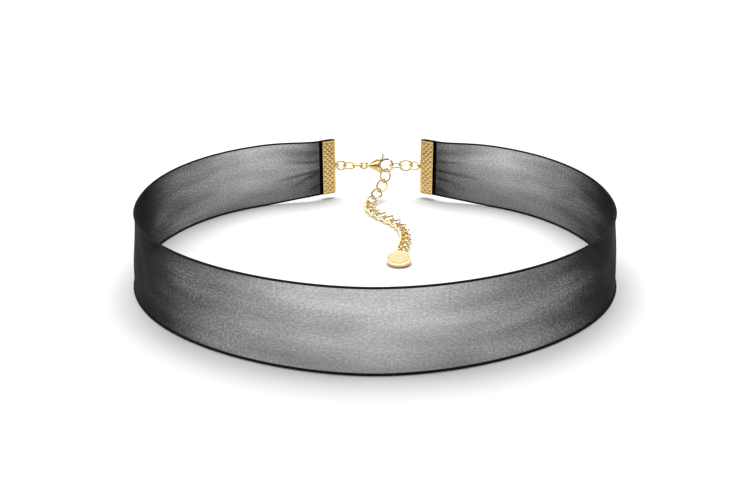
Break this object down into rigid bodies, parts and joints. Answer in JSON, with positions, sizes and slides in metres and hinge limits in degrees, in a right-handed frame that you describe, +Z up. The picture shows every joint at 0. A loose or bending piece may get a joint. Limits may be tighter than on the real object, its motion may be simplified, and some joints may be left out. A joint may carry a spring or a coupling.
{
  "type": "choker necklace",
  "caption": "Sheer ribbon choker with knurled end clamps, a lobster clasp and an extender chain that ends in a plain round tag.",
  "frame": {"origin": "middle of the base of the bounding box: the ribbon's lower edge stands on z = 0", "axes": "+X to the viewer's right along the long way of the loop, +Y towards the clasp at the back, +Z up"},
  "size_m": [0.1246, 0.1174, 0.02],
  "materials": {
    "black_organza": "sheer woven ribbon with a solid line at each edge",
    "gold": "polished pale yellow gold plate"
  },
  "bodies": {
    "choker": {"ribbon": "black_organza", "clamp_left": "gold", "clamp_right": "gold", "left_tail_ring": "gold", "left_turned_link": "gold", "left_oval_ring": "gold", "left_clamp_ring": "gold", "right_hook_ring": "gold", "right_large_ring": "gold", "right_clamp_ring": "gold", "clasp_body": "gold", "extender_link_01": "gold", "extender_link_02": "gold", "extender_link_03": "gold", "extender_link_04": "gold", "extender_link_05": "gold", "extender_link_06": "gold", "extender_link_07": "gold", "extender_link_08": "gold", "extender_link_09": "gold", "extender_link_10": "gold", "extender_link_11": "gold", "extender_link_12": "gold", "extender_link_13": "gold", "extender_link_14": "gold", "extender_link_15": "gold", "extender_link_16": "gold", "tag_jump_ring": "gold", "tag": "gold"},
    "clasp_lever": {"clasp_lever": "gold"}
  },
  "joints": [
    {"name": "clasp_lever_hinge", "type": "hinge", "parent": "choker", "child": "clasp_lever", "pos_m": [0.00166, 0.05758, 0.01207], "axis": [0, 0.9781, -0.2079], "range_deg": [0, 18], "stiffness_Nm_per_rad": 0.0001, "springref_deg": -5.73}
  ]
}
